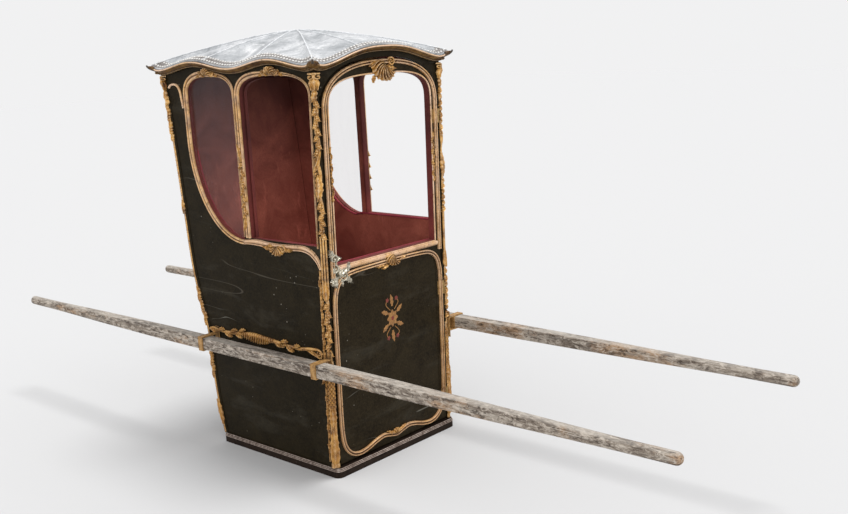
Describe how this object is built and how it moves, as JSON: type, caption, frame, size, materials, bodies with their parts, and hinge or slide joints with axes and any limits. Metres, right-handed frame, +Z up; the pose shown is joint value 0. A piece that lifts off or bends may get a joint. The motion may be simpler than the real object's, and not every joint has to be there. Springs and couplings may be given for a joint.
{
  "type": "sedan chair",
  "caption": "Enclosed carrying chair with a hinged front door, a hinged domed roof, side windows and carrying poles that slide through straps.",
  "frame": {"origin": "centre of the underside of the base slab, on the floor", "axes": "+Z up; the door faces -Y and the poles run along Y; +X is to the right of someone who faces the door"},
  "size_m": [0.863, 3.615, 1.707],
  "materials": {
    "plinth_wood": "worn dark brown paint over wood, with pale rubbed edges",
    "plain_wood": "plain oiled board",
    "gilt_wood": "carved and gilded wood, rubbed, with dark recesses",
    "painted_wood": "dark green-black paint and varnish, lightly scratched",
    "red_lining": "faded dark red lining",
    "window_glass": "old clear glass",
    "strap_iron": "bronzed iron band, rubbed",
    "red_cushion": "dark red woven cover",
    "hinge_brass": "dull brass",
    "lock_metal": "dull silvered metal",
    "roof_leather": "pale blue-grey leather, scuffed",
    "pole_wood": "weathered grey-brown wood"
  },
  "bodies": {
    "cabin": {"base_plinth": "plinth_wood", "floor_board": "plain_wood", "front_post_left": "gilt_wood", "front_post_right": "gilt_wood", "rear_post_left": "painted_wood", "rear_post_right": "painted_wood", "side_wall_left": "painted_wood", "side_wall_right": "painted_wood", "back_wall": "painted_wood", "front_header": "painted_wood", "side_lining_left": "red_lining", "side_lining_right": "red_lining", "back_lining": "red_lining", "rear_glass_left": "window_glass", "rear_glass_right": "window_glass", "strap_front_left": "strap_iron", "strap_front_right": "strap_iron", "strap_rear_left": "strap_iron", "strap_rear_right": "strap_iron", "seat_riser": "plain_wood", "seat_cleats": "plain_wood", "seat_board": "plain_wood", "seat_cushion": "red_cushion", "door_post_hinges": "hinge_brass", "roof_wall_hinges": "hinge_brass"},
    "door": {"door_frame": "painted_wood", "door_panel": "painted_wood", "door_lining": "red_lining", "door_lock": "lock_metal", "door_handle": "lock_metal", "door_leaf_hinges": "hinge_brass"},
    "roof": {"cornice": "gilt_wood", "roof_dome": "roof_leather", "roof_lining": "red_lining", "roof_leaf_hinges": "hinge_brass"},
    "pole_left": {"pole_left": "pole_wood"},
    "pole_right": {"pole_right": "pole_wood"}
  },
  "joints": [
    {"name": "door_swing", "type": "hinge", "parent": "cabin", "child": "door", "pos_m": [0.31775, -0.3425, 0.03687], "axis": [0, -0.0227, 0.9997], "range_deg": [0, 90]},
    {"name": "roof_lift", "type": "hinge", "parent": "cabin", "child": "roof", "pos_m": [0, 0.56669, 1.536], "axis": [-1, 0, 0], "range_deg": [0, 65]},
    {"name": "pole_slide_left", "type": "slide", "parent": "cabin", "child": "pole_left", "axis": [0, 1, 0], "range_m": [-1.35, 1.42]},
    {"name": "pole_slide_right", "type": "slide", "parent": "cabin", "child": "pole_right", "axis": [0, 1, 0], "range_m": [-1.35, 1.42]}
  ]
}
